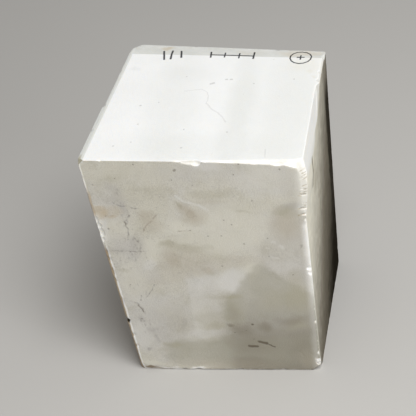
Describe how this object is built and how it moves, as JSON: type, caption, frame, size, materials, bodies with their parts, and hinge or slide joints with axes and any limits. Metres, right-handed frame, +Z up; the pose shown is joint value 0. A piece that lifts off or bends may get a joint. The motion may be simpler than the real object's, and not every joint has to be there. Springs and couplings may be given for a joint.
{
  "type": "marble block",
  "caption": "Rough-sawn block of white marble, taller than wide, with leaning faces, dressed margins on its top and chipped arrises.",
  "frame": {"origin": "on the ground, under the middle of the block's bounding box", "axes": "+Z up along the block's height; the front, the face with the widest view of the clouded stone, looks along -Y, and its foot runs along X"},
  "size_m": [0.2654, 0.238, 0.3554],
  "materials": {
    "marble": "sawn white marble, slightly translucent, clouded grey and beige, with bruised white arrises"
  },
  "bodies": {
    "root": {"marble_block": "marble"}
  },
  "joints": []
}
